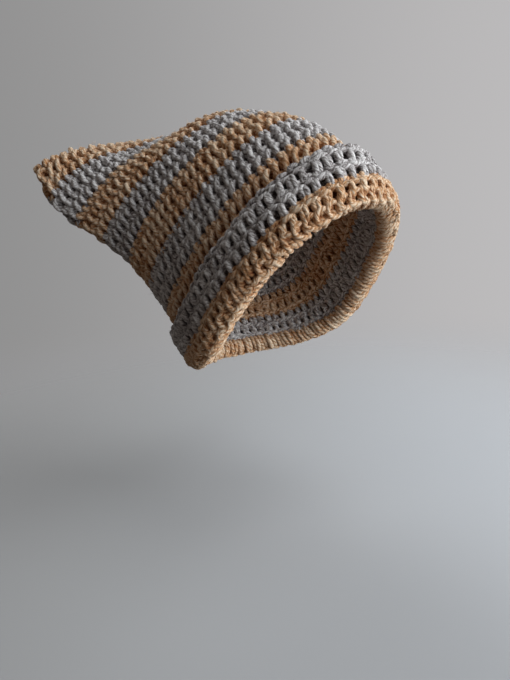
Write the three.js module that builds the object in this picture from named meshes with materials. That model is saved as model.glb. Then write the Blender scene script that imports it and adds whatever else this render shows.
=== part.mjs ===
import * as THREE from "three";

// A striped crocheted beanie: a tube with a straight seam across its top, so that the two
// top corners stand out like ears, and with its lower edge turned up once as a cuff.
// Millimetres. +Z is up and the hat faces -Y, as it sits on a head. The origin is the middle
// of the head opening. Shapes are drawn in the tube's own directions: x to the wearer's left,
// q towards the nape in the plane of the opening, s along the tube towards the seam.

// The head opening
const brimTilt = 50;              // degrees that the opening leans back, forehead high
const openingHalfWidth = 70.5;    // over the ears, to the inner face of the fabric
const openingHalfLength = 99.5;   // forehead to nape
const widestBehind = 14.5;        // the opening is widest this far behind its middle
const sideDrop = 3;               // the brim dips over the ears
const napeRise = 41;              // and rises at the nape

// The flat top
const tipOut = 122;               // a top corner, from the middle plane
const tipBack = 26;
const tipHeight = 215;
const seamForward = 14.7;         // the middle of the top seam is drawn forward and sags
const seamHeight = 179.7;

// How the fabric runs between them: the handles of one cubic curve up the front, one up the
// back and one up each side, along the folded edge of the tube
const frontSwell = 38.8;
const frontSwellHeight = 113.9;
const frontLead = 11.5;
const frontLeadDrop = 4.5;
const backSwell = 1.5;
const backSwellHeight = 80;
const backSlouch = 84;
const backSlouchHeight = 14;
const sideTuck = 7.5;
const sideSweep = 27;
const sideRise = 167.5;
const tipFlare = 8;
const tipSweep = 25;
const tipReach = 63;

// How the round section flattens towards the seam: powers of the cosine, 1 for an ellipse
const seamPinch = 1.94;
const pinchDelay = 1.58;
const seamSag = 3.36;

// The crown of the head lifts the middle of the front, and beside it the fabric is hollow.
// Each place and spread is a share: across, of the squared half width, and up the front.
const crownLift = 4.7;
const liftPlace = [0.04, 0.69];
const liftSpread = [0.13, 0.08];
const hollowDepth = 6.5;
const hollowPlace = [0.29, 0.82];
const hollowSpread = [0.23, 0.09];

// The fabric
const fabricThickness = 8;
const layerGap = 0.4;             // half the gap between the two layers where the tube is flat
const rowGroove = 1.2;            // the dip between two rows
const pieceGap = 0.3;             // between neighbouring bands
const rowsPerBand = 2;
const bodyBands = 8;              // from the cuff's inside to the seam
const foldTail = 3;               // the fold's band ends this far up inside the brim
const cuffHeight = 37;            // of the cuff's outer layer above the turn
const cuffBandHeight = 27;        // of the grey band that is its upper part
const cuffGap = 0.6;              // between the cuff and the fabric behind it

// The joining yarn along the top seam
const seamYarnRadius = 2.6;
const seamYarnLift = 1.3;         // of its centre above a rest on the groove
const seamGrooveDepth = 3.4;
const seamShoulder = 7;           // the fabric rounds over to the seam within this

// Facets
const aroundCount = 72;           // a multiple of four, so that corners and centres have one
const cornerCrowding = 0.55;      // how much closer the facets are at the folded edges
const quarterSteps = 40;
const cornerSteps = 8;
const turnSteps = 6;
const curveSteps = 300;

const gold = new THREE.MeshStandardMaterial({ color: "#a87c50", roughness: 0.95, metalness: 0 });
const grey = new THREE.MeshStandardMaterial({ color: "#86807e", roughness: 0.95, metalness: 0 });

const seamMiddle = [-seamForward, seamHeight];
const tip = [tipOut, tipBack, tipHeight];
const frontPath = curve([
  [-openingHalfLength, 0],
  [-openingHalfLength - frontSwell, frontSwellHeight],
  [seamMiddle[0] - frontLead, seamMiddle[1] - frontLeadDrop],
  seamMiddle,
]);
const backPath = curve([
  [openingHalfLength, napeRise],
  [openingHalfLength + backSwell, napeRise + backSwellHeight],
  [seamMiddle[0] + backSlouch, seamMiddle[1] + backSlouchHeight],
  seamMiddle,
]);
const sidePath = curve([
  [openingHalfWidth, widestBehind, -sideDrop],
  [openingHalfWidth - sideTuck, widestBehind + sideSweep, -sideDrop + sideRise],
  [tip[0] + tipFlare, tip[1] + tipSweep, tip[2] - tipReach],
  tip,
]);
const fabricLength = sidePath.length;

// A cubic curve through its first and last point, walked by length
function curve(handles) {
  const size = handles[0].length;
  const points = [];
  const reached = [0];
  for (let i = 0; i <= curveSteps; i++) {
    const t = i / curveSteps;
    const w = [(1 - t) ** 3, 3 * (1 - t) ** 2 * t, 3 * (1 - t) * t * t, t ** 3];
    const point = [];
    for (let k = 0; k < size; k++) {
      point.push(w.reduce((sum, weight, j) => sum + weight * handles[j][k], 0));
    }
    if (i > 0) {
      const step = Math.hypot(...point.map((v, k) => v - points[i - 1][k]));
      reached.push(reached[i - 1] + step);
    }
    points.push(point);
  }
  const length = reached[curveSteps];
  function at(share) {
    const goal = share * length;
    let i = 1;
    while (i < curveSteps && reached[i] < goal) {
      i++;
    }
    const f = (goal - reached[i - 1]) / (reached[i] - reached[i - 1]);
    return points[i].map((v, k) => points[i - 1][k] + f * (v - points[i - 1][k]));
  }
  return { at, length };
}

// The inner face of the fabric on one half of the tube, side 1 for the front and -1 for the
// back, at a share of the way from brim to seam. angle is 0 at the middle, a quarter turn at
// the folded edge.
function innerFace(side, angle, share) {
  const middle = (side > 0 ? frontPath : backPath).at(share);
  const edge = sidePath.at(share);
  const late = Math.max(share, 0);
  const pinch = 1 + (seamPinch - 1) * late ** pinchDelay;
  const sag = 2 + (seamSag - 2) * late;
  const c = Math.max(Math.cos(angle), 0);
  const across = Math.sin(angle) ** 2;
  let push = 0;
  if (side > 0) {
    push = crownLift * hill(across, late, liftPlace, liftSpread);
    push -= hollowDepth * hill(across, late, hollowPlace, hollowSpread);
  }
  return new THREE.Vector3(
    edge[0] * Math.sin(angle),
    edge[1] + (middle[0] - edge[1]) * c ** pinch - 0.6 * push,
    edge[2] + (middle[1] - edge[2]) * c ** sag + 0.8 * push,
  );
}

// 1 at its place, falling smoothly to nothing about two spreads away
function hill(across, along, place, spread) {
  return Math.exp(-(((across - place[0]) / spread[0]) ** 2) - ((along - place[1]) / spread[1]) ** 2);
}

// The left half of one round, front middle to back middle: points on the inner face and the
// direction in which the fabric's thickness lies. At the folded edge the direction turns
// round the edge, so that the fold is round outside however flat the tube is.
function halfRound(share) {
  const nudge = 0.002;
  const half = { front: [], back: [] };
  for (const [name, side] of [["front", 1], ["back", -1]]) {
    for (let i = 0; i <= quarterSteps; i++) {
      const angle = (i / quarterSteps) * Math.PI / 2;
      const before = (Math.max(i - 0.5, 0) / quarterSteps) * Math.PI / 2;
      const after = (Math.min(i + 0.5, quarterSteps) / quarterSteps) * Math.PI / 2;
      const point = innerFace(side, angle, share);
      const across = innerFace(side, after, share).sub(innerFace(side, before, share));
      const lower = Math.min(share, 1 - nudge);
      const along = innerFace(side, angle, lower + nudge).sub(innerFace(side, angle, lower - nudge));
      half[name].push({ point, out: across.multiplyScalar(side).cross(along).normalize() });
    }
  }
  const lower = Math.min(share, 1 - nudge);
  const edgeUp = innerFace(1, Math.PI / 2, lower + nudge).sub(innerFace(1, Math.PI / 2, lower - nudge));
  edgeUp.normalize();
  const sideways = new THREE.Vector3(1, 0, 0);
  sideways.addScaledVector(edgeUp, -sideways.dot(edgeUp)).normalize();
  const backwards = edgeUp.clone().cross(sideways);
  const start = half.front.pop();
  const end = half.back.pop();
  const from = Math.atan2(start.out.dot(backwards), start.out.dot(sideways));
  const to = Math.atan2(end.out.dot(backwards), end.out.dot(sideways));
  const turn = [];
  for (let i = 0; i <= cornerSteps; i++) {
    const a = from + (to - from) * (i / cornerSteps);
    const out = sideways.clone().multiplyScalar(Math.cos(a)).addScaledVector(backwards, Math.sin(a));
    turn.push({ point: start.point.clone(), out });
  }
  return { front: half.front, turn, back: half.back.reverse() };
}

// One round of evenly spread stations, as many as aroundCount, starting at the front middle
// and going to the wearer's left. Stations fall on both folded edges and both middles.
function round(share) {
  const half = halfRound(share);
  const middle = half.turn[cornerSteps / 2];
  const first = [...half.front, ...half.turn.slice(0, cornerSteps / 2), middle];
  const second = [middle, ...half.turn.slice(cornerSteps / 2 + 1), ...half.back];
  const perQuarter = aroundCount / 4;
  const left = [];
  for (const [index, list] of [first, second].entries()) {
    const reached = [0];
    for (let i = 1; i < list.length; i++) {
      const a = list[i - 1].point.clone().addScaledVector(list[i - 1].out, fabricThickness / 2);
      const b = list[i].point.clone().addScaledVector(list[i].out, fabricThickness / 2);
      reached.push(reached[i - 1] + a.distanceTo(b));
    }
    for (let k = 0; k < perQuarter; k++) {
      const even = (k + index * perQuarter) / aroundCount;
      const crowded = even + cornerCrowding * Math.sin(4 * Math.PI * even) / (4 * Math.PI);
      const goal = (crowded * 4 - index) * reached[list.length - 1];
      let i = 1;
      while (i < list.length - 1 && reached[i] < goal) {
        i++;
      }
      const f = (goal - reached[i - 1]) / (reached[i] - reached[i - 1]);
      left.push({
        point: list[i - 1].point.clone().lerp(list[i].point, f),
        out: list[i - 1].out.clone().lerp(list[i].out, f).normalize(),
      });
    }
  }
  left.push(second[second.length - 1]);
  left[0].point.x = 0;
  left[left.length - 1].point.x = 0;
  for (const ending of [left[0], left[left.length - 1]]) {
    ending.out.x = 0;
    ending.out.normalize();
  }
  const mirrored = left.slice(1, -1).reverse().map(({ point, out }) => ({
    point: new THREE.Vector3(-point.x, point.y, point.z),
    out: new THREE.Vector3(-out.x, out.y, out.z),
  }));
  return [...left, ...mirrored];
}

// A round at a depth of the fabric, 0 on its inner face
function roundAt(share, depth) {
  const points = round(share).map(({ point, out }) => point.clone().addScaledVector(out, depth));
  return { points, depth };
}

// Turned to how the hat is worn
function worn(p) {
  const a = THREE.MathUtils.degToRad(brimTilt);
  return [
    p.x,
    p.y * Math.cos(a) + p.z * Math.sin(a),
    -p.y * Math.sin(a) + p.z * Math.cos(a),
  ];
}

function solid(name, material, points, triangles) {
  const positions = new Float32Array(points.flatMap(worn));
  let volume = 0;
  const corner = (i) => new THREE.Vector3().fromArray(positions, i * 3);
  for (const [a, b, c] of triangles) {
    volume += corner(a).dot(corner(b).cross(corner(c)));
  }
  const index = volume < 0 ? triangles.map(([a, b, c]) => [a, c, b]) : triangles;
  const geometry = new THREE.BufferGeometry();
  geometry.setAttribute("position", new THREE.BufferAttribute(positions, 3));
  geometry.setIndex(index.flat());
  geometry.computeVertexNormals();
  const mesh = new THREE.Mesh(geometry, material.clone());
  mesh.name = name;
  return mesh;
}

// The strip of facets between two rounds. Its diagonals run the same way whether it goes
// inwards or outwards, so that the end walls of two neighbouring bands stay parallel.
function strip(rounds, from, to) {
  const outwards = rounds[to].depth > rounds[from].depth;
  const triangles = [];
  for (let k = 0; k < aroundCount; k++) {
    const m = (k + 1) % aroundCount;
    const a = from * aroundCount + k;
    const b = from * aroundCount + m;
    const c = to * aroundCount + m;
    const d = to * aroundCount + k;
    triangles.push(...(outwards ? [[a, b, d], [b, c, d]] : [[a, b, c], [a, c, d]]));
  }
  return triangles;
}

// Skins a closed list of rounds into a ring
function ring(name, material, rounds) {
  const points = rounds.flatMap((one) => one.points);
  const triangles = rounds.flatMap((_, i) => strip(rounds, i, (i + 1) % rounds.length));
  return solid(name, material, points, triangles);
}

// The outer face of a band has a crest in the middle of each of its rows
function bandFace(from, to, innerDepth, rows) {
  const top = innerDepth + fabricThickness;
  const rounds = [];
  for (let i = 0; i <= rows * 2; i++) {
    const share = from + (to - from) * (i / (rows * 2));
    rounds.push(roundAt(share, i % 2 ? top : top - rowGroove));
  }
  return rounds;
}

function shareOf(length) {
  return length / fabricLength;
}

const halfGap = shareOf(pieceGap / 2);
const bandShares = [shareOf(foldTail)];
for (let i = 1; i <= bodyBands; i++) {
  bandShares.push(i / bodyBands);
}

function bodyBand(name, material, number) {
  const from = bandShares[number] + halfGap;
  const to = bandShares[number + 1] - halfGap;
  const outer = bandFace(from, to, layerGap, rowsPerBand);
  const inner = [roundAt(to, layerGap), roundAt((from + to) / 2, layerGap), roundAt(from, layerGap)];
  return ring(name, material, [...outer, ...inner]);
}

// The cuff's outer layer lies over the body at this depth
const cuffDepth = layerGap + fabricThickness + cuffGap;

function cuffBand(name, material) {
  const from = shareOf(cuffHeight - cuffBandHeight) + halfGap;
  const to = shareOf(cuffHeight);
  const outer = bandFace(from, to, cuffDepth, rowsPerBand);
  const inner = [roundAt(to, cuffDepth), roundAt((from + to) / 2, cuffDepth), roundAt(from, cuffDepth)];
  return ring(name, material, [...outer, ...inner]);
}

// The band that goes round the turn: down the cuff's outer layer, round, and up inside
function foldBand(name, material) {
  const bottom = round(0);
  const above = round(0.01);
  const middleDepth = layerGap + fabricThickness + cuffGap / 2;
  const down = bottom.map(({ point }, k) => point.clone().sub(above[k].point).normalize());
  function turned(radius, part) {
    const depth = middleDepth - radius * Math.cos(part * Math.PI);
    const drop = radius * Math.sin(part * Math.PI);
    const points = bottom.map(({ point, out }, k) => point.clone()
      .addScaledVector(out, depth)
      .addScaledVector(down[k], drop));
    return { points, depth };
  }
  const outerTop = shareOf(cuffHeight - cuffBandHeight) - halfGap;
  const innerTop = shareOf(foldTail) - halfGap;
  const rounds = [roundAt(innerTop, layerGap)];
  for (let i = 0; i <= turnSteps; i++) {
    rounds.push(turned(fabricThickness + cuffGap / 2, i / turnSteps));
  }
  rounds.push(roundAt(outerTop / 2, cuffDepth + fabricThickness));
  rounds.push(roundAt(outerTop, cuffDepth + fabricThickness - rowGroove));
  rounds.push(roundAt(outerTop, cuffDepth));
  for (let i = turnSteps / 2; i >= 0; i--) {
    rounds.push(turned(cuffGap / 2, (2 * i) / turnSteps));
  }
  rounds.push(roundAt(innerTop, layerGap + fabricThickness));
  return ring(name, material, rounds);
}

// Where the front and the back meet along the top. Each station of the front half shares its
// point with the station behind it.
function seamLine(depth) {
  const last = round(1);
  const half = aroundCount / 2;
  const quarter = aroundCount / 4;
  const line = [];
  for (let k = -quarter; k <= quarter; k++) {
    const front = last[(k + aroundCount) % aroundCount];
    const back = last[half - k];
    const out = front.out.clone().add(back.out).multiplyScalar(0.5);
    const point = front.point.clone().add(back.point).multiplyScalar(0.5);
    line.push({ point: point.addScaledVector(out, depth), out });
  }
  return line;
}

// The last band closes along the seam
function crownBand(name, material, number) {
  const from = bandShares[number] + halfGap;
  const shoulder = 1 - shareOf(seamShoulder);
  const ceiling = 1 - shareOf(fabricThickness);
  const top = layerGap + fabricThickness;
  const rounds = [roundAt(ceiling, layerGap), roundAt((from + ceiling) / 2, layerGap)];
  rounds.push(roundAt(from, layerGap));
  rounds.push(...bandFace(from, shoulder, layerGap, rowsPerBand).slice(0, -1));
  rounds.push(roundAt(shoulder, top - rowGroove / 2));
  rounds.push(roundAt(1 - shareOf(seamShoulder * 0.4), top - rowGroove * 2));
  const points = rounds.flatMap((one) => one.points);
  const triangles = rounds.slice(1).flatMap((_, i) => strip(rounds, i, i + 1));
  // outside, the last round closes on the seam line
  const seam = seamLine(top - seamGrooveDepth);
  const quarter = aroundCount / 4;
  const half = aroundCount / 2;
  const lastRound = (rounds.length - 1) * aroundCount;
  const seamStart = points.length;
  points.push(...seam.map(({ point }) => point));
  const onSeam = (k) => {
    const turn = (k + aroundCount) % aroundCount;
    const across = turn > quarter && turn < half + quarter ? half - turn : turn;
    const signed = across > half ? across - aroundCount : across;
    return seamStart + signed + quarter;
  };
  for (let k = 0; k < aroundCount; k++) {
    const m = (k + 1) % aroundCount;
    const a = lastRound + k;
    const b = lastRound + m;
    triangles.push([a, b, onSeam(m)], [a, onSeam(m), onSeam(k)]);
  }
  // inside, the first round closes across from front to back
  for (let k = -quarter; k < quarter; k++) {
    const a = (k + aroundCount) % aroundCount;
    const b = (k + 1 + aroundCount) % aroundCount;
    const c = half - k - 1;
    const d = half - k;
    if (a !== d) {
      triangles.push([a, d, b]);
    }
    if (b !== c) {
      triangles.push([b, d, c]);
    }
  }
  return solid(name, material, points, triangles);
}

// The yarn that joins front and back, laid along the seam from corner to corner
function seamYarn(name, material) {
  const line = seamLine(layerGap + fabricThickness - seamGrooveDepth);
  const path = line.map(({ point, out }, k) => {
    const next = line[Math.min(k + 1, line.length - 1)].point;
    const previous = line[Math.max(k - 1, 0)].point;
    const alongSeam = next.clone().sub(previous).normalize();
    const lifted = new THREE.Vector3(0, 0, 1);
    lifted.addScaledVector(alongSeam, -lifted.dot(alongSeam)).normalize();
    const away = out.clone().addScaledVector(lifted, 0.6).normalize();
    const lift = seamYarnRadius + pieceGap + seamYarnLift;
    return point.clone().addScaledVector(away, lift);
  });
  const inside = path.slice(1, -1).filter((_, k) => k % 2 === 0);
  const sides = 8;
  const shape = new THREE.Shape();
  for (let i = 0; i < sides; i++) {
    const a = (i / sides) * Math.PI * 2;
    const x = Math.cos(a) * seamYarnRadius;
    const y = Math.sin(a) * seamYarnRadius;
    if (i === 0) {
      shape.moveTo(x, y);
    } else {
      shape.lineTo(x, y);
    }
  }
  shape.closePath();
  const extrudePath = new THREE.CatmullRomCurve3(inside);
  const geometry = new THREE.ExtrudeGeometry(shape, { steps: 40, extrudePath, bevelEnabled: false });
  const position = geometry.getAttribute("position");
  const point = new THREE.Vector3();
  for (let i = 0; i < position.count; i++) {
    point.fromBufferAttribute(position, i);
    position.setXYZ(i, ...worn(point));
  }
  geometry.computeVertexNormals();
  const mesh = new THREE.Mesh(geometry, material.clone());
  mesh.name = name;
  return mesh;
}

const hat = new THREE.Group();
hat.name = "striped_beanie";
hat.add(
  cuffBand("cuff_band_grey", grey),
  foldBand("fold_band_gold", gold),
  bodyBand("inner_band_grey", grey, 0),
  bodyBand("body_band_1_gold", gold, 1),
  bodyBand("body_band_2_grey", grey, 2),
  bodyBand("body_band_3_gold", gold, 3),
  bodyBand("body_band_4_grey", grey, 4),
  bodyBand("body_band_5_gold", gold, 5),
  bodyBand("body_band_6_grey", grey, 6),
  crownBand("crown_band_gold", gold, 7),
  seamYarn("top_seam_yarn_gold", gold),
);

export default hat;
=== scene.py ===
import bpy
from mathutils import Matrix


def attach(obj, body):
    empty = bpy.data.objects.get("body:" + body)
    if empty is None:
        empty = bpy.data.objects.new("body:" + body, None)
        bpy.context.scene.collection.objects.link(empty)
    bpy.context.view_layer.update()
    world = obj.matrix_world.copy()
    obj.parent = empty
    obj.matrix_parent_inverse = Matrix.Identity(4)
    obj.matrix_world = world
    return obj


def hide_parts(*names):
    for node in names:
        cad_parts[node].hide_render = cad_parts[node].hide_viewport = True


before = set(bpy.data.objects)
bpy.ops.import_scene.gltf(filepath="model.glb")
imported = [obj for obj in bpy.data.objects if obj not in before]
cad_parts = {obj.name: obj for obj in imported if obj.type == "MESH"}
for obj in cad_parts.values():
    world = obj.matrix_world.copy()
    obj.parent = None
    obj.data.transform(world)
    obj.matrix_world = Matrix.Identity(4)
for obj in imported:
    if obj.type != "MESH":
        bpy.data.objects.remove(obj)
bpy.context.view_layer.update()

import math
import bpy
import numpy as np
from mathutils import Matrix

# A striped crocheted beanie, worked in half double crochet from the closed top down to the
# cuff. Every strand is laid along the way it takes through a real stitch. Lengths are in
# millimetres until they go into a mesh.
mm = 0.001
print("beanie: frame loaded")

hat = dict(
    brimTilt=50.0,                       # degrees that the opening leans back
    halfWidth=70.5, halfLength=99.5, widestBehind=14.5, sideDrop=3.0, napeRise=41.0,
    tip=(122.0, 26.0, 215.0), seamForward=14.7, seamHeight=179.7,
    frontSwell=(38.8, 113.9), frontLead=(11.5, 4.5),
    backSwell=(1.5, 80.0), backSlouch=(84.0, 14.0),
    sideTuck=7.5, sideSweep=27.0, sideRise=167.5, tipFlare=8.0, tipSweep=25.0, tipReach=63.0,
    seamPinch=1.94, pinchDelay=1.58, seamSag=3.36,
    # the crown lifts the front of the hat, and beside it the fabric is hollow: each
    # is (depth, place across, place along, spread across, spread along), in shares
    crownLift=(4.7, 0.04, 0.69, 0.13, 0.08),
    hollow=(-6.5, 0.29, 0.82, 0.23, 0.09),
    pushWay=(-0.6, 0.8),                 # back and up, for each mm of lift or hollow
)
fabric = dict(
    middle=4.0,                          # depth of the middle of the fabric from its inner face
    turnDepth=8.4, turnRadius=4.4,       # the cuff's turn, round the gap between its two layers
    cuffHeight=37.0,
    leastRadius=0.4,                     # the turn's innermost strands keep this
    nearSeam=0.985,                      # share of the length at which the way to the seam is read
    gridRounds=161,                      # rounds worked out along the tube, for looking up
)


def cubicByLength(handles, steps=300):
    # a cubic curve through its first and last handle, looked up by share of its length
    h = np.array(handles, float)
    t = np.linspace(0, 1, steps + 1)[:, None]
    p = (1 - t)**3 * h[0] + 3 * (1 - t)**2 * t * h[1] + 3 * (1 - t) * t**2 * h[2] + t**3 * h[3]
    reached = np.concatenate([[0], np.cumsum(np.linalg.norm(np.diff(p, axis=0), axis=1))])
    def at(share):
        goal = np.asarray(share) * reached[-1]
        return np.stack([np.interp(goal, reached, p[:, k]) for k in range(p.shape[1])], -1)
    return at, reached[-1]


seamMiddle = (-hat["seamForward"], hat["seamHeight"])
tip = np.array(hat["tip"])
frontAt, _ = cubicByLength([
    (-hat["halfLength"], 0),
    (-hat["halfLength"] - hat["frontSwell"][0], hat["frontSwell"][1]),
    (seamMiddle[0] - hat["frontLead"][0], seamMiddle[1] - hat["frontLead"][1]),
    seamMiddle])
backAt, _ = cubicByLength([
    (hat["halfLength"], hat["napeRise"]),
    (hat["halfLength"] + hat["backSwell"][0], hat["napeRise"] + hat["backSwell"][1]),
    (seamMiddle[0] + hat["backSlouch"][0], seamMiddle[1] + hat["backSlouch"][1]),
    seamMiddle])
sideAt, fabricLength = cubicByLength([
    (hat["halfWidth"], hat["widestBehind"], -hat["sideDrop"]),
    (hat["halfWidth"] - hat["sideTuck"], hat["widestBehind"] + hat["sideSweep"],
     -hat["sideDrop"] + hat["sideRise"]),
    (tip[0] + hat["tipFlare"], tip[1] + hat["tipSweep"], tip[2] - hat["tipReach"]),
    tuple(tip)])


def innerFace(side, angle, share):
    # x is the folded edge's times sin(angle); back and up blend from the edge to the middle
    # line by powers of cos(angle) that grow towards the seam. The front is pushed out by the
    # sum of depth * exp(-((sin(angle)^2 - across) / spread)^2 - ((share - along) / spread)^2)
    middle = (frontAt if side > 0 else backAt)(share)
    edge = sideAt(share)
    pinch = 1 + (hat["seamPinch"] - 1) * share**hat["pinchDelay"]
    sag = 2 + (hat["seamSag"] - 2) * share
    c = np.clip(np.cos(angle), 0, 1)
    push = 0
    for depth, across, along, wide, long in (hat["crownLift"], hat["hollow"]) if side > 0 else ():
        push = push + depth * np.exp(-((np.sin(angle)**2 - across) / wide)**2
                                     - ((share - along) / long)**2)
    return np.stack([
        edge[..., 0] * np.sin(angle),
        edge[..., 1] + (middle[..., 0] - edge[..., 1]) * c**pinch + hat["pushWay"][0] * push,
        edge[..., 2] + (middle[..., 1] - edge[..., 2]) * c**sag + hat["pushWay"][1] * push], -1)


def unit(v):
    return v / np.maximum(np.linalg.norm(v, axis=-1, keepdims=True), 1e-12)


def fabricRounds(shares, quarterSteps=80, cornerSteps=24, stations=224):
    # For each share: points on the inner face and the way the thickness lies, spread evenly by
    # length from the front middle over the left to the back middle, then mirrored.
    # The outward way is across the round times along the tube; at the folded edge it turns
    # round the edge in equal steps.
    share = np.asarray(shares, float)[:, None]
    nudge = 0.002
    lower = np.minimum(share, 1 - nudge)
    i = np.arange(quarterSteps + 1)[None]
    angle, before, after = (np.clip(i + d, 0, quarterSteps) / quarterSteps * math.pi / 2
                            for d in (0, -0.5, 0.5))
    halves = []
    for side in (1, -1):
        point = innerFace(side, angle, share)
        across = innerFace(side, after, share) - innerFace(side, before, share)
        along = (innerFace(side, angle, lower + nudge)
                 - innerFace(side, angle, np.maximum(lower - nudge, 0)))
        halves.append((point, unit(np.cross(across * side, along))))
    quarter = np.full_like(share, math.pi / 2)
    edgeUp = unit((innerFace(1, quarter, lower + nudge)
                   - innerFace(1, quarter, np.maximum(lower - nudge, 0)))[:, 0])
    sideways = unit(np.array([1.0, 0, 0]) - edgeUp * edgeUp[:, :1])
    backwards = np.cross(edgeUp, sideways)
    angles = [np.arctan2((out[:, -1] * backwards).sum(1), (out[:, -1] * sideways).sum(1))
              for _, out in halves]
    part = np.linspace(0, 1, cornerSteps + 1)[None]
    a = angles[0][:, None] + (angles[1] - angles[0])[:, None] * part
    turnOut = np.cos(a)[..., None] * sideways[:, None] + np.sin(a)[..., None] * backwards[:, None]
    turnPoint = np.repeat(halves[0][0][:, -1:], cornerSteps + 1, axis=1)
    points = np.concatenate([halves[0][0][:, :-1], turnPoint, halves[1][0][:, -2::-1]], 1)
    outs = np.concatenate([halves[0][1][:, :-1], turnOut, halves[1][1][:, -2::-1]], 1)
    middle = points + outs * fabric["middle"]
    reached = np.cumsum(np.linalg.norm(np.diff(middle, axis=1), axis=2), 1)
    reached = np.concatenate([np.zeros((len(reached), 1)), reached], 1)
    goal = np.linspace(0, 1, stations + 1)
    def spread(values):
        return np.stack([[np.interp(goal * r[-1], r, v[:, k]) for k in range(3)]
                         for r, v in zip(reached, values)]).transpose(0, 2, 1)
    points, outs = spread(points), unit(spread(outs))
    flip = np.array([-1.0, 1, 1])
    points = np.concatenate([points, points[:, -2:0:-1] * flip], 1)
    outs = np.concatenate([outs, outs[:, -2:0:-1] * flip], 1)
    return points, outs


gridPoints, gridOuts = fabricRounds(np.linspace(0, 1, fabric["gridRounds"]))
gridDown = unit(gridPoints[0] - gridPoints[2])


def lookUp(grid, around, share=None):
    # blends the four nearest entries of a grid of rounds; around wraps
    n = grid.shape[-2]
    u = (around % 1) * n
    k = np.floor(u).astype(int)
    f = (u - k)[..., None]
    k, m = k % n, (k + 1) % n
    if share is None:
        return grid[k] * (1 - f) + grid[m] * f
    t = np.clip(share, 0, 1) * (len(grid) - 1)
    j = np.minimum(np.floor(t).astype(int), len(grid) - 2)
    g = (t - j)[..., None]
    return ((grid[j, k] * (1 - f) + grid[j, m] * f) * (1 - g)
            + (grid[j + 1, k] * (1 - f) + grid[j + 1, m] * f) * g)


turnLength = math.pi * fabric["turnRadius"]
wholeLength = fabricLength + turnLength + fabric["cuffHeight"]
tiltCos, tiltSin = math.cos(math.radians(hat["brimTilt"])), math.sin(math.radians(hat["brimTilt"]))


def worn(p):
    # turned from the tube's own directions to how the hat is worn
    return np.stack([p[..., 0], p[..., 1] * tiltCos + p[..., 2] * tiltSin,
                     -p[..., 1] * tiltSin + p[..., 2] * tiltCos], -1)


def onFabric(around, along, out):
    # around: rounds from the front middle towards the wearer's left. along: mm from the top
    # seam down the body, round the turn and up the cuff. out: mm from the middle of the fabric
    # on its right side, which the turned cuff hides.
    share = np.clip(1 - along / fabricLength, 0, 1)
    turn = np.clip((along - fabricLength) / fabric["turnRadius"], 0, math.pi)
    up = np.clip(along - fabricLength - turnLength, 0, None)
    share = np.where(up > 0, up / fabricLength, share)
    radius = np.maximum(fabric["turnRadius"] - out, fabric["leastRadius"])
    depth = np.where(along <= fabricLength, fabric["middle"] + out,
                     fabric["turnDepth"] - radius * np.cos(turn))
    drop = np.where(along <= fabricLength, 0, radius * np.sin(turn))
    point = lookUp(gridPoints, around, share)
    way = unit(lookUp(gridOuts, around, share))
    down = lookUp(gridDown, around)
    beyond = np.clip(-along, 0, None)      # a strand that reaches past the seam
    crest = unit(lookUp(gridPoints, around, np.full_like(share, 1.0))
                 - lookUp(gridPoints, around, np.full_like(share, fabric["nearSeam"])))
    return point + way * depth[..., None] + down * drop[..., None] + crest * beyond[..., None]


print("beanie: fabric", round(wholeLength), "mm from seam to free edge")

stitch = dict(
    count=72,                            # stitches in a round
    lean=-0.021,                         # stitches that the columns drift for each mm down
    yarnRadius=2.25,
    flatten=0.92,                        # how far the strands are pressed into the fabric
    plyTurn=13.0,                        # mm of yarn for one turn of its plies
    sides=8,
    sampleStep=2.3,                      # mm of yarn between two rings of the mesh
    looseness=(0.06, 0.04, 0.45),        # how uneven the strands lie
    parting=0.13,                        # the turn pulls the two back strands apart by this
    backStrands=(-2.5, 0.66),            # they lie deeper and lower than these
    pathReachesHole=24,                  # the path's points before this go down to the hole
    rowUnevenness=0.02, thickness=0.09,  # how much rows' heights and the yarn's radius vary
)
# One half double crochet: along the round in stitches, from the row's start to its top in
# rows, and mm out of the fabric
stitchPath = np.array([
    # the top loop: front strand, crest, back strand
    (-0.46, 0.93, -1.4), (-0.40, 1.02, 0.0), (-0.14, 1.07, 1.2), (0.14, 1.03, 2.6),
    (0.42, 0.97, 2.3), (0.56, 0.92, -0.6), (0.32, 1.02, -2.4), (-0.02, 1.08, -2.8),
    (-0.34, 1.00, -2.6),
    # the yarn over: a bar under the back strand, round the side, slanting down the front
    (-0.52, 0.86, -2.7), (-0.36, 0.74, -3.5), (0.02, 0.70, -3.8), (0.36, 0.66, -3.2),
    (0.52, 0.62, -0.6), (0.52, 0.44, 1.7), (0.38, 0.28, 3.4), (0.16, 0.42, 4.8),
    (-0.04, 0.66, 4.8), (-0.20, 0.92, 3.4), (-0.30, 0.84, 0.6),
    # over to the back and down it to the hole
    (-0.12, 0.80, -1.4), (0.14, 0.64, -3.3), (0.02, 0.36, -4.0), (-0.12, 0.08, -3.2),
    (-0.04, -0.06, -0.8),
    # through to the front: one leg up, over, the other leg down, proud where it dives in
    (0.10, -0.14, 1.2), (0.22, -0.02, 3.6), (0.22, 0.20, 2.2), (0.06, 0.60, 1.2),
    (-0.08, 0.86, 1.0), (-0.26, 0.78, 1.2), (-0.22, 0.44, 2.4), (-0.15, 0.17, 3.6),
    (-0.10, 0.00, 4.9), (-0.05, -0.16, 3.2), (0.02, -0.12, -1.0),
    # up the back to the next top loop
    (0.06, 0.10, -3.2), (0.26, 0.44, -4.0), (0.44, 0.74, -2.7),
])


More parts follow.
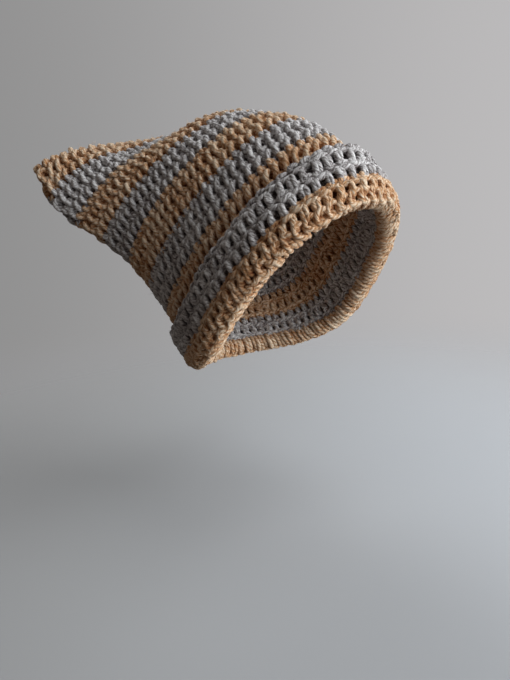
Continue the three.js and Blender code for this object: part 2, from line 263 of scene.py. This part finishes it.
def spline(p, per=6):
    # Catmull-Rom through all points but the first one and the last two, which only steer it
    t = np.linspace(0, 1, per, endpoint=False)[None, :, None]
    a, b, c, d = p[:-3, None], p[1:-2, None], p[2:-1, None], p[3:, None]
    q = 0.5 * (2 * b + (c - a) * t + (2 * a - 5 * b + 4 * c - d) * t**2
               + (3 * b - a - 3 * c + d) * t**3)
    return q.reshape(-1, p.shape[1])


def evenLoop(p, step):
    # the same closed line, sampled at even lengths; columns after x, y and z come along
    closed = np.concatenate([p, p[:1]])
    steps = np.linalg.norm(np.diff(closed[:, :3], axis=0), axis=1)
    reached = np.concatenate([[0], np.cumsum(steps)])
    goal = np.linspace(0, reached[-1], max(int(reached[-1] / step), 8), endpoint=False)
    columns = [np.interp(goal, reached, closed[:, k]) for k in range(p.shape[1])]
    return np.stack(columns, 1), reached[-1]


def softened(p, times):
    for _ in range(times):
        p = 0.5 * p + 0.25 * (np.roll(p, 1, axis=0) + np.roll(p, -1, axis=0))
    return p


def loopFrames(p):
    # The tangent, a side direction that never twists about it, and how far it has turned from
    # that direction at the start; each step reflects the last direction on to the next ring
    tangent = unit(np.roll(p, -1, axis=0) - np.roll(p, 1, axis=0))
    up = np.where(np.abs(tangent[:, 2:]) < 0.8, [[0, 0, 1.0]], [[1.0, 0, 0]])
    side = unit(up - (up * tangent).sum(1, keepdims=True) * tangent)
    nextTangent, nextSide = np.roll(tangent, -1, axis=0), np.roll(side, -1, axis=0)
    step = np.roll(p, -1, axis=0) - p
    square = np.maximum((step**2).sum(1, keepdims=True), 1e-9)
    carried = side - 2 * (step * side).sum(1, keepdims=True) / square * step
    bent = tangent - 2 * (step * tangent).sum(1, keepdims=True) / square * step
    second = nextTangent - bent
    square = np.maximum((second**2).sum(1, keepdims=True), 1e-12)
    carried = carried - 2 * (second * carried).sum(1, keepdims=True) / square * second
    binormal = np.cross(nextTangent, nextSide)
    turn = np.arctan2((carried * binormal).sum(1), (carried * nextSide).sum(1))
    return tangent, side, np.concatenate([[0], np.cumsum(turn)])


def yarnTube(p, length, radius, lift, outward):
    # A closed line of yarn. Returns points, four-sided faces, u and v along it, and how many mm
    # each point stands off the middle of the fabric. v is mm along the yarn; u is turns round
    # it, counted along with the plies, so that lines of equal u follow them.
    tangent, side, turn = loopFrames(p)
    n, sides = len(p), stitch["sides"]
    spare = round(turn[-1] / (2 * math.pi)) * 2 * math.pi - turn[-1]
    share = np.arange(n) / n
    phi = (np.arange(sides) / sides * 2 * math.pi)[None] + (turn[:-1] + share * spare)[:, None]
    other = np.cross(tangent, side)
    ring = np.cos(phi)[..., None] * side[:, None] + np.sin(phi)[..., None] * other[:, None]
    offset = ring * radius[:, None, None]
    points = p[:, None] + offset
    # how far each point stands off the fabric's middle, which sets the painted depth shade
    proud = np.abs(lift[:, None] + (offset * outward[:, None]).sum(-1))
    i, j = np.meshgrid(np.arange(n), np.arange(sides), indexing="ij")
    i2, j2 = (i + 1) % n, (j + 1) % sides
    faces = np.stack([i * sides + j, i * sides + j2, i2 * sides + j2, i2 * sides + j], -1)
    v = np.stack([i, i, i + 1, i + 1], -1) / n
    u = np.stack([j, j + 1, j + 1, j], -1) / sides + v * round(length / stitch["plyTurn"])
    uv = np.stack([u, v * length], -1)
    return points.reshape(-1, 3), faces.reshape(-1, 4), uv.reshape(-1, 4, 2), proud.ravel()


fuzz = dict(
    spacing=9.0,                         # mm of yarn for one long loose fibre
    length=(2.5, 7.0), shorten=(0.5, 1),
    radius=0.11, bentRadius=0.8,         # the radius at the bend, as a share
    root=0.7,                            # the share of the yarn's radius at which it starts
    lean=(0.3, 1.2), unrest=0.3,         # how far it leans along the yarn, and how unevenly
    spread=0.8,                          # how far its second half turns away
)
nap = dict(
    spacing=2.0, length=(0.9, 2.4), radius=0.17,
    root=0.85, lean=(0.6, 2.4), unrest=0.35,
    slide=0.8,                           # mm along the yarn that its start moves at random
)
# where random draws start: each row adds its number, and nap adds to what its yarn has
seeds = dict(row=100, fuzz=200, nap=1000, seam=7, seamFuzz=9)


def placesOn(p, length, spacing, local):
    # points of the line picked at random, the way the yarn runs there and a way out of it
    count = int(length / spacing)
    at = local.integers(0, len(p), count)
    tangent, side, _ = loopFrames(p)
    t, s = tangent[at], side[at]
    a = local.uniform(0, 2 * math.pi, count)[:, None]
    return at, t, np.cos(a) * s + np.sin(a) * np.cross(t, s)


def leaning(outward, t, look, local):
    # outward, tipped along the yarn one way or the other, plus a little unrest
    count = len(t)
    lean = local.choice([-1.0, 1.0], (count, 1)) * local.uniform(*look["lean"], (count, 1))
    return unit(outward + t * lean + local.normal(0, look["unrest"], (count, 3)))


def triangleAcross(way, near, radius):
    # three corners in a ring round each way, the first one square to it and to near
    x = unit(np.cross(way, near + 1e-3))
    y = np.cross(way, x)
    third = np.arange(3) * 2 * math.pi / 3
    ring = (np.cos(third)[None, :, None] * x[:, None] + np.sin(third)[None, :, None] * y[:, None])
    return ring * radius


def repeated(points, shape):
    # the same faces for every group of points
    faces = np.array(shape)[None] + np.arange(len(points))[:, None, None] * points.shape[1]
    return points.reshape(-1, 3), faces.reshape(-1, 3)


def napOn(p, length, radius, seed):
    # Short fibres: thin three-sided spikes that lean out from the yarn's surface and along it
    local = np.random.default_rng(seed)
    at, t, outward = placesOn(p, length, nap["spacing"], local)
    count = len(at)
    way = leaning(outward, t, nap, local)
    root = (p[at] + outward * (radius[at] * nap["root"])[:, None]
            + t * local.normal(0, nap["slide"], (count, 1)))
    end = root + way * local.uniform(*nap["length"], (count, 1))
    ring = triangleAcross(way, outward, nap["radius"])
    points = np.concatenate([root[:, None] + ring, end[:, None]], 1)
    return repeated(points, [(0, 1, 3), (1, 2, 3), (2, 0, 3), (0, 2, 1)])


def fuzzOn(p, length, radius, seed):
    # Loose fibres: from a point of the yarn's surface a thin three-sided spike leans out and
    # along the yarn, bends halfway and ends in a tip. The nap comes with them.
    local = np.random.default_rng(seed)
    at, t, outward = placesOn(p, length, fuzz["spacing"], local)
    count = len(at)
    root = p[at] + outward * (radius[at] * fuzz["root"])[:, None]
    long = local.uniform(*fuzz["length"], count)[:, None]
    long = long * local.uniform(*fuzz["shorten"], (count, 1))
    way = leaning(outward, t, fuzz, local)
    bend = root + way * long * 0.5
    end = bend + unit(way + local.normal(0, fuzz["spread"], (count, 3))) * long * 0.5
    ring = triangleAcross(way, t, fuzz["radius"])
    points = np.concatenate(
        [root[:, None] + ring, bend[:, None] + ring * fuzz["bentRadius"], end[:, None]], 1)
    points, faces = repeated(points, [
        (0, 1, 4), (0, 4, 3), (1, 2, 5), (1, 5, 4), (2, 0, 3), (2, 3, 5),
        (3, 4, 6), (4, 5, 6), (5, 3, 6), (0, 2, 1)])
    napPoints, napFaces = napOn(p, length, radius, seed + seeds["nap"])
    return np.concatenate([points, napPoints]), np.concatenate([faces, napFaces + len(points)])


def rowYarn(rowStart, rowEnd, seed, parting):
    # One closed round of stitches between two lengths along the fabric. The stitch's path is
    # repeated with small errors, joined by a spline, laid on the fabric and sampled at even
    # steps. The yarn's radius is yarnRadius * (1 + thickness * noise), with smoothed noise.
    local = np.random.default_rng(seed)
    n = stitch["count"]
    path = stitchPath.copy()
    atBack = (path[:, 2] < stitch["backStrands"][0]) & (path[:, 1] < stitch["backStrands"][1])
    goingDown = np.arange(len(path)) < stitch["pathReachesHole"]
    path[:, 0] += atBack * np.where(goingDown, -parting, parting)
    p = np.repeat(path[None], n, axis=0)
    uneven = local.normal(0, 1, p.shape) * np.array(stitch["looseness"])
    flat = uneven.reshape(-1, 3)
    flat = (np.roll(flat, 1, 0) + 2 * flat + np.roll(flat, -1, 0)) / 2.5
    p = p.reshape(-1, 3) + flat
    p[:, 0] += np.repeat(np.arange(n), len(stitchPath))
    p[:, 1] += np.repeat(local.normal(0, stitch["rowUnevenness"], n), len(stitchPath))
    # the last point of the round meets the first one again, a whole round on
    q = spline(np.concatenate([p[-1:] - [n, 0, 0], p, p[:2] + [n, 0, 0]]))
    along = rowStart + (rowEnd - rowStart) * q[:, 1]
    around, out = (q[:, 0] + stitch["lean"] * along) / n, q[:, 2] * stitch["flatten"]
    world = worn(onFabric(around, along, out))
    outward = worn(onFabric(around, along, out + 0.5)) - world
    line = np.concatenate([world, out[:, None], outward], 1)
    line, length = evenLoop(line, stitch["sampleStep"] / 2)
    line = softened(line, 2)
    line, length = evenLoop(line, stitch["sampleStep"])
    wobble = local.normal(0, 1, len(line))
    for _ in range(3):
        wobble = 0.5 * wobble + 0.25 * (np.roll(wobble, 1) + np.roll(wobble, -1))
    radius = stitch["yarnRadius"] * (1 + stitch["thickness"] * wobble)
    return line[:, :3], length, radius, line[:, 3], unit(line[:, 4:])


def meshPiece(name, points, faces, uv, proud, material, node):
    mesh = bpy.data.meshes.new(name)
    count = len(faces)
    mesh.vertices.add(len(points))
    mesh.vertices.foreach_set("co", (points * mm).astype(np.float32).ravel())
    mesh.loops.add(faces.size)
    mesh.loops.foreach_set("vertex_index", faces.astype(np.int32).ravel())
    mesh.polygons.add(count)
    width = faces.shape[1]
    mesh.polygons.foreach_set("loop_start", np.arange(0, faces.size, width, dtype=np.int32))
    mesh.polygons.foreach_set("loop_total", np.full(count, width, dtype=np.int32))
    mesh.polygons.foreach_set("use_smooth", np.ones(count, dtype=bool))
    if uv is not None:
        layer = mesh.uv_layers.new(name="alongYarn")
        layer.data.foreach_set("uv", uv.astype(np.float32).ravel())
        values = mesh.attributes.new("proud", "FLOAT", "POINT")
        values.data.foreach_set("value", proud.astype(np.float32))
    mesh.update()
    mesh.materials.append(material)
    piece = bpy.data.objects.new(name, mesh)
    bpy.context.scene.collection.objects.link(piece)
    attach(piece, "root")
    if node:
        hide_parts(node)


# one entry for each yarn: its colours, and how strongly each pattern moves its tone, painted shade
# among them
yarns = dict(
    gold=dict(slot="gold_yarn", light=(0.86, 0.70, 0.53), main=(0.57, 0.29, 0.13),
              dark=(0.21, 0.055, 0.016), fibre=(0.84, 0.65, 0.46),
              plies=0.44, fibres=1.4, stretches=0.5, depthShade=0.085),
    grey=dict(slot="grey_yarn", light=(0.77, 0.75, 0.745), main=(0.38, 0.35, 0.348),
              dark=(0.085, 0.06, 0.055), fibre=(0.70, 0.68, 0.69),
              plies=0.50, fibres=1.7, stretches=0.6, depthShade=0.085),
)
# what both yarns share
surface = dict(
    plies=3,
    waver=0.7,                           # how far slow noise moves the grooves between them
    plyRoundness=0.6, plyMean=0.75,      # the power of the ply's profile, and its mean
    clouds=0.6,
    proudMean=3.6,                       # mm that most of the yarn stands off the middle
    stops=(0.15, 0.5, 0.88),             # tones at which a yarn is dark, main and light
    fibreRelief=1.2, bump=0.7, bumpDepth=0.0008,
    roughness=0.95, specular=0.12, sheen=0.65, sheenRoughness=0.5,
)
# each noise: its scale by turns round the yarn and by mm along it, and its detail
noises = dict(
    waver=((1.0, 0.22, 1.0), 2.0),
    fibres=((14.0, 0.35, 1.0), 3.0),
    stretches=((3.0, 0.05, 1.0), 1.0),
    clouds=((45.0, 45.0, 45.0), 2.0),    # by metres, on the object's coordinates
)
fuzzSurface = dict(cloudScale=300.0, stops=(0.35, 0.65), roughness=0.8, sheen=0.3)


def yarnMaterial(name, colours):
    # Tone = 0.5 + plies + fibres + stretches + clouds + depth shade, each less its mean. Plies are
    # |sin(3 pi u)|^0.6, painted shade in the grooves between three plies, where u wavers by slow
    # noise so that no two plies are alike. Fibres are noise streaked along them, stretches make
    # some plies paler for a while, clouds are slow and on the object's coordinates, and painted
    # shade darkens the strands deep in the fabric and leaves pale what stands proud of it. A ramp
    # turns tone into colour.
    material = bpy.data.materials.new(name)
    material.use_nodes = True
    nodes, links = material.node_tree.nodes, material.node_tree.links
    shader = nodes["Principled BSDF"]
    uv = nodes.new("ShaderNodeUVMap")
    uv.uv_map = "alongYarn"
    coords = nodes.new("ShaderNodeTexCoord")
    def noise(source, scale, detail):
        stretch = nodes.new("ShaderNodeMapping")
        stretch.inputs["Scale"].default_value = scale
        texture = nodes.new("ShaderNodeTexNoise")
        texture.inputs["Scale"].default_value = 1.0
        texture.inputs["Detail"].default_value = detail
        links.new(source, stretch.inputs["Vector"])
        links.new(stretch.outputs["Vector"], texture.inputs["Vector"])
        return texture.outputs["Fac"]
    def maths(operation, value, *others):
        step = nodes.new("ShaderNodeMath")
        step.operation = operation
        links.new(value, step.inputs[0])
        for socket, other in zip(step.inputs[1:], others):
            if isinstance(other, float):
                socket.default_value = other
            else:
                links.new(other, socket)
        return step.outputs[0]
    split = nodes.new("ShaderNodeSeparateXYZ")
    links.new(uv.outputs["UV"], split.inputs["Vector"])
    waver = noise(uv.outputs["UV"], *noises["waver"])
    wavering = maths("MULTIPLY_ADD", waver, surface["waver"], split.outputs["X"])
    plies = maths("SINE", maths("MULTIPLY", wavering, surface["plies"] * math.pi))
    plies = maths("POWER", maths("ABSOLUTE", plies), surface["plyRoundness"])
    fibres = noise(uv.outputs["UV"], *noises["fibres"])
    stretches = noise(uv.outputs["UV"], *noises["stretches"])
    clouds = noise(coords.outputs["Object"], *noises["clouds"])
    height = nodes.new("ShaderNodeAttribute")
    height.attribute_name = "proud"
    tone = maths("MULTIPLY_ADD", clouds, surface["clouds"], 0.5 - surface["clouds"] / 2)
    # painted shade: strands that lie deep in the fabric are darker, those that stand proud paler
    tone = maths("MULTIPLY_ADD", height.outputs["Fac"], colours["depthShade"], tone)
    tone = maths("MULTIPLY_ADD", stretches, colours["stretches"], tone)
    tone = maths("MULTIPLY_ADD", fibres, colours["fibres"], tone)
    # painted shade in the grooves between the plies; the same pattern also drives the bump
    tone = maths("MULTIPLY_ADD", plies, colours["plies"], tone)
    tone = maths("SUBTRACT", tone,
                 surface["proudMean"] * colours["depthShade"] + 0.5 * colours["stretches"]
                 + 0.5 * colours["fibres"] + surface["plyMean"] * colours["plies"])
    ramp = nodes.new("ShaderNodeValToRGB")
    darkStop, mainStop, lightStop = surface["stops"]
    ramp.color_ramp.elements[0].position = darkStop
    ramp.color_ramp.elements[0].color = (*colours["dark"], 1)
    ramp.color_ramp.elements[1].position = lightStop
    ramp.color_ramp.elements[1].color = (*colours["light"], 1)
    ramp.color_ramp.elements.new(mainStop).color = (*colours["main"], 1)
    relief = maths("MULTIPLY_ADD", fibres, surface["fibreRelief"], plies)
    bump = nodes.new("ShaderNodeBump")
    bump.inputs["Strength"].default_value = surface["bump"]
    bump.inputs["Distance"].default_value = surface["bumpDepth"]
    links.new(tone, ramp.inputs["Fac"])
    links.new(ramp.outputs["Color"], shader.inputs["Base Color"])
    links.new(relief, bump.inputs["Height"])
    links.new(bump.outputs["Normal"], shader.inputs["Normal"])
    shader.inputs["Roughness"].default_value = surface["roughness"]
    shader.inputs["Specular IOR Level"].default_value = surface["specular"]
    shader.inputs["Sheen Weight"].default_value = surface["sheen"]
    shader.inputs["Sheen Roughness"].default_value = surface["sheenRoughness"]
    shader.inputs["Sheen Tint"].default_value = (*colours["fibre"], 1)
    return material


def fuzzMaterial(name, colours):
    # Single fibres let light through, so they are paler than the yarn. Slow noise on the
    # object's coordinates blends their colour from the yarn's main one to the fibre's.
    material = bpy.data.materials.new(name)
    material.use_nodes = True
    nodes, links = material.node_tree.nodes, material.node_tree.links
    shader = nodes["Principled BSDF"]
    coords = nodes.new("ShaderNodeTexCoord")
    clouds = nodes.new("ShaderNodeTexNoise")
    clouds.inputs["Scale"].default_value = fuzzSurface["cloudScale"]
    ramp = nodes.new("ShaderNodeValToRGB")
    ramp.color_ramp.elements[0].position = fuzzSurface["stops"][0]
    ramp.color_ramp.elements[0].color = (*colours["main"], 1)
    ramp.color_ramp.elements[1].position = fuzzSurface["stops"][1]
    ramp.color_ramp.elements[1].color = (*colours["fibre"], 1)
    links.new(coords.outputs["Object"], clouds.inputs["Vector"])
    links.new(clouds.outputs["Fac"], ramp.inputs["Fac"])
    links.new(ramp.outputs["Color"], shader.inputs["Base Color"])
    shader.inputs["Roughness"].default_value = fuzzSurface["roughness"]
    shader.inputs["Sheen Weight"].default_value = fuzzSurface["sheen"]
    return material


materials = {name: yarnMaterial(name + "Yarn", colours) for name, colours in yarns.items()}
fuzzMaterials = {name: fuzzMaterial(name + "Fuzz", colours) for name, colours in yarns.items()}

eighth = fabricLength / 8                # every stripe from the seam down is so high
turnEnd = fabricLength + turnLength
seamEdge = 1.5                           # mm from the seam to the first row
foldStart = fabricLength - 3             # the fold's stripe starts just inside the hat
foldEnd = turnEnd + 10
freeEdge = turnEnd + 36
stretchedRow = 0.6                       # the share of the fold's stripe that its first row takes
bands = [   # node, yarn, where its rows start and end along the fabric
    ("crown_band_gold", "gold", seamEdge, eighth),
    ("body_band_6_grey", "grey", eighth, 2 * eighth),
    ("body_band_5_gold", "gold", 2 * eighth, 3 * eighth),
    ("body_band_4_grey", "grey", 3 * eighth, 4 * eighth),
    ("body_band_3_gold", "gold", 4 * eighth, 5 * eighth),
    ("body_band_2_grey", "grey", 5 * eighth, 6 * eighth),
    ("body_band_1_gold", "gold", 6 * eighth, 7 * eighth),
    ("inner_band_grey", "grey", 7 * eighth, foldStart),
    ("fold_band_gold", "gold", foldStart, foldEnd),
    ("cuff_band_grey", "grey", foldEnd, freeEdge),
]

for number, (node, yarn, start, end) in enumerate(bands):
    parts, loose = [], []
    # the row that goes round the turn is stretched
    turned = node == "fold_band_gold"
    middle = start + (end - start) * (stretchedRow if turned else 0.5)
    for row, (rowStart, rowEnd) in enumerate([(start, middle), (middle, end)]):
        line, length, radius, lift, outward = rowYarn(
            rowStart, rowEnd, seeds["row"] + number * 2 + row,
            stitch["parting"] * (turned and row == 0))
        parts.append(yarnTube(line, length, radius, lift, outward))
        loose.append(fuzzOn(line, length, radius, seeds["fuzz"] + number * 2 + row))
    offset = len(parts[0][0])
    points = np.concatenate([part[0] for part in parts])
    faces = np.concatenate([parts[0][1], parts[1][1] + offset])
    uv = np.concatenate([part[2] for part in parts])
    proud = np.concatenate([part[3] for part in parts])
    meshPiece(node.replace("_band", "_yarn"), points, faces, uv, proud, materials[yarn],
              node)
    points = np.concatenate([part[0] for part in loose])
    faces = np.concatenate([loose[0][1], loose[1][1] + len(loose[0][0])])
    meshPiece(node.replace("_band", "_fuzz"), points, faces, None, None, fuzzMaterials[yarn],
              None)
    if number == 0:
        print("beanie: yarn in one stitch", round(length / stitch["count"], 1), "mm")
print("beanie: yarn laid")

seam = dict(
    wraps=36, across=6.2, over=3.4, under=6.0, yarnRadius=1.85,
    reach=0.247,                         # rounds from the front middle to where it ends
    stepsPerWrap=24, stepsBack=120, unevenness=0.5,
    nudge=0.004,                         # rounds to each side, to read the seam's direction
    # the seam's painted depth shade is set by this
    lift=4.0,                            # it counts as standing so far off the fabric's middle
)


def seamYarn():
    # An overcast seam from the right ear to the left: across it and up it the yarn goes round
    # an ellipse once for each stitch. It comes back straight, hidden between the two layers.
    wraps = seam["wraps"]
    turns = np.linspace(0, wraps, wraps * seam["stepsPerWrap"] + 1)
    local = np.random.default_rng(seeds["seam"])
    def frameAt(around):
        point = lookUp(gridPoints, around, np.ones_like(around))
        nearSeam = np.full_like(around, fabric["nearSeam"])
        crest = unit(point - lookUp(gridPoints, around, nearSeam))
        ahead = lookUp(gridPoints, around + seam["nudge"], np.ones_like(around))
        behind = lookUp(gridPoints, around - seam["nudge"], np.ones_like(around))
        return point, crest, unit(np.cross(ahead - behind, crest))
    around = -seam["reach"] + 2 * seam["reach"] * turns / wraps
    point, crest, across = frameAt(around)
    angle = (turns + 0.5) * 2 * math.pi
    uneven = np.interp(turns, np.arange(wraps + 1),
                       local.normal(0, seam["unevenness"], wraps + 1))
    rise = (seam["over"] - seam["under"]) / 2 + np.cos(angle) * (seam["over"] + seam["under"]) / 2
    line = (point + crest * (rise + uneven)[:, None]
            + across * (np.sin(angle) * seam["across"])[:, None])
    back = np.linspace(around[-1], around[0], seam["stepsBack"])[1:-1]
    point, crest, across = frameAt(back)
    inside = point - crest * seam["under"]
    line = worn(np.concatenate([line, inside]))
    line, length = evenLoop(line, stitch["sampleStep"] / 2)
    line, length = evenLoop(softened(line, 3), stitch["sampleStep"])
    radius = np.full(len(line), seam["yarnRadius"])
    lift = np.full(len(line), seam["lift"])
    points, faces, uv, proud = yarnTube(line, length, radius, lift, line * 0)
    meshPiece("top_seam_overcast", points, faces, uv, proud, materials["gold"],
              "top_seam_yarn_gold")
    points, faces = fuzzOn(line, length, radius, seeds["seamFuzz"])
    meshPiece("top_seam_fuzz", points, faces, None, None, fuzzMaterials["gold"],
              None)


seamYarn()
print("beanie: seam sewn")

camera = dict(place=(-0.3246, -0.3085, 0.0664), lens=28.91,
              right=(0.73783, -0.67372, -0.04142), up=(0.17561, 0.13234, 0.97552),
              back=(-0.65174, -0.72704, 0.21595))
eye = bpy.data.cameras.new("eye")
eye.lens = camera["lens"]
eye.sensor_width = 36
eye.sensor_fit = "AUTO"
eye.clip_start = 0.01
eyeObject = bpy.data.objects.new("eye", eye)
bpy.context.scene.collection.objects.link(eyeObject)
columns = np.stack([camera["right"], camera["up"], camera["back"]], 1)
facing = Matrix([list(row) + [0] for row in columns] + [[0, 0, 0, 1]])
eyeObject.matrix_world = Matrix.Translation(camera["place"]) @ facing
bpy.context.scene.camera = eyeObject

room = dict(   # lengths in metres
    floorHeight=-0.20, floorRadius=3.0, floorSides=96,
    # painted shade: the floor is darker on the left, away from the light on the right
    floorShadedLeft=(0.36, 0.36, 0.365), floorLitRight=(0.57, 0.59, 0.625),
    floorReach=0.35,                     # half the way from the left colour to the right one
    floorFade=1.2,                       # where the floor has faded out
    # painted shade: the backdrop is darker on the left, away from the light on the right
    backdropShadedLeft=(0.27, 0.268, 0.268), backdropLitRight=(0.52, 0.51, 0.515), backdropReach=0.6,
    ambient=(0.90, 0.80, 0.73), ambientStrength=0.072,
    lampAim=(0, 0.06, 0.06),
)


def leftToRight(nodes, links, source, reach, left, right):
    # a colour blended from left to right by how far the source points to the picture's right; it
    # paints shade on the left
    rightward = nodes.new("ShaderNodeVectorMath")
    rightward.operation = "DOT_PRODUCT"
    rightward.inputs[1].default_value = camera["right"]
    share = nodes.new("ShaderNodeMapRange")
    share.interpolation_type = "SMOOTHSTEP"
    share.inputs["From Min"].default_value = -reach
    share.inputs["From Max"].default_value = reach
    shade = nodes.new("ShaderNodeMix")
    shade.data_type = "RGBA"
    shade.inputs["A"].default_value = (*left, 1)
    shade.inputs["B"].default_value = (*right, 1)
    links.new(source, rightward.inputs[0])
    links.new(rightward.outputs["Value"], share.inputs["Value"])
    links.new(share.outputs["Result"], shade.inputs["Factor"])
    return shade.outputs["Result"]


def floorMaterial():
    # pale and matt, with painted shade that darkens its left side, fading out with distance so
    # that no horizon line shows; it sends no light back on to the hat
    material = bpy.data.materials.new("floor")
    material.use_nodes = True
    nodes, links = material.node_tree.nodes, material.node_tree.links
    shader = nodes["Principled BSDF"]
    shader.inputs["Roughness"].default_value = 0.9
    coords = nodes.new("ShaderNodeTexCoord")
    shade = leftToRight(nodes, links, coords.outputs["Object"], room["floorReach"],
                        room["floorShadedLeft"], room["floorLitRight"])
    links.new(shade, shader.inputs["Base Color"])
    far = nodes.new("ShaderNodeVectorMath")
    far.operation = "LENGTH"
    fade = nodes.new("ShaderNodeMapRange")
    fade.interpolation_type = "SMOOTHERSTEP"
    fade.inputs["From Min"].default_value = 0.0
    fade.inputs["From Max"].default_value = room["floorFade"]
    clear = nodes.new("ShaderNodeBsdfTransparent")
    blend = nodes.new("ShaderNodeMixShader")
    links.new(coords.outputs["Object"], far.inputs[0])
    links.new(far.outputs["Value"], fade.inputs["Value"])
    links.new(fade.outputs["Result"], blend.inputs["Fac"])
    links.new(shader.outputs["BSDF"], blend.inputs[1])
    links.new(clear.outputs["BSDF"], blend.inputs[2])
    seen = nodes.new("ShaderNodeLightPath")
    only = nodes.new("ShaderNodeMixShader")
    links.new(seen.outputs["Is Camera Ray"], only.inputs["Fac"])
    links.new(clear.outputs["BSDF"], only.inputs[1])
    links.new(blend.outputs["Shader"], only.inputs[2])
    links.new(only.outputs["Shader"], nodes["Material Output"].inputs["Surface"])
    return material


def layFloor():
    # a flat disc: a fan of triangles from its middle to points evenly round its rim
    sides = room["floorSides"]
    around = np.linspace(0, 2 * math.pi, sides, endpoint=False)
    rim = np.stack([np.cos(around), np.sin(around)], 1) * room["floorRadius"]
    points = np.concatenate([[[0, 0, 0]], np.column_stack([rim, np.zeros(sides)])])
    ids = np.arange(sides)
    faces = np.stack([np.zeros(sides, int), ids + 1, (ids + 1) % sides + 1], 1)
    mesh = bpy.data.meshes.new("floor")
    mesh.from_pydata(points.tolist(), [], faces.tolist())
    mesh.materials.append(floorMaterial())
    floor = bpy.data.objects.new("floor", mesh)
    floor.location = (0, 0, room["floorHeight"])
    bpy.context.scene.collection.objects.link(floor)


layFloor()

# daylight from a window on the right, a warmer room behind
daylight, warmRoom = (0.94, 0.98, 1.0), (1.0, 0.86, 0.74)
lamps = [   # name, place, size, power, colour
    ("windowLamp", (1.25, -1.09, 0.03), 1.0, 10.5, daylight),
    ("highLamp", (0.83, -1.13, 0.95), 0.9, 12.5, daylight),
    ("topLamp", (0.31, -0.51, 1.58), 0.9, 7.0, daylight),
    ("frontLamp", (0.25, -1.58, 0.41), 0.9, 10.0, daylight),
    ("lowLamp", (0.45, -1.53, -0.40), 0.9, 9.5, daylight),
    ("backLamp", (0.3, 1.45, 0.9), 1.0, 14.0, daylight),
    ("fillLamp", (-1.3, 0.6, 0.9), 1.0, 1.2, warmRoom),
]
for name, place, size, power, colour in lamps:
    lamp = bpy.data.lights.new(name, "AREA")
    lamp.energy = power
    lamp.color = colour
    lamp.size = size
    lampObject = bpy.data.objects.new(name, lamp)
    lampObject.location = place
    aim = unit(np.array(place) - room["lampAim"])
    sideWay = unit(np.cross([0, 0, 1.0], aim))
    rows = np.stack([sideWay, np.cross(aim, sideWay), aim], 1)
    lampObject.rotation_euler = Matrix(rows.tolist()).to_euler()
    bpy.context.scene.collection.objects.link(lampObject)

world = bpy.data.worlds.new("room")
bpy.context.scene.world = world
world.use_nodes = True
worldNodes, worldLinks = world.node_tree.nodes, world.node_tree.links
ambient = worldNodes["Background"]
ambient.inputs["Color"].default_value = (*room["ambient"], 1)
ambient.inputs["Strength"].default_value = room["ambientStrength"]
seen = worldNodes.new("ShaderNodeBackground")
seen.inputs["Strength"].default_value = 1.0
# the backdrop is darker on the left by painted shade: its colour is blended by how far right the
# ray points
direction = worldNodes.new("ShaderNodeTexCoord")
shade = leftToRight(worldNodes, worldLinks, direction.outputs["Generated"],
                    room["backdropReach"], room["backdropShadedLeft"], room["backdropLitRight"])
worldLinks.new(shade, seen.inputs["Color"])
ray = worldNodes.new("ShaderNodeLightPath")
either = worldNodes.new("ShaderNodeMixShader")
worldLinks.new(ray.outputs["Is Camera Ray"], either.inputs["Fac"])
worldLinks.new(ambient.outputs["Background"], either.inputs[1])
worldLinks.new(seen.outputs["Background"], either.inputs[2])
worldLinks.new(either.outputs["Shader"], worldNodes["World Output"].inputs["Surface"])
bpy.context.scene.view_settings.view_transform = "Standard"
print("beanie: camera, floor and light set")
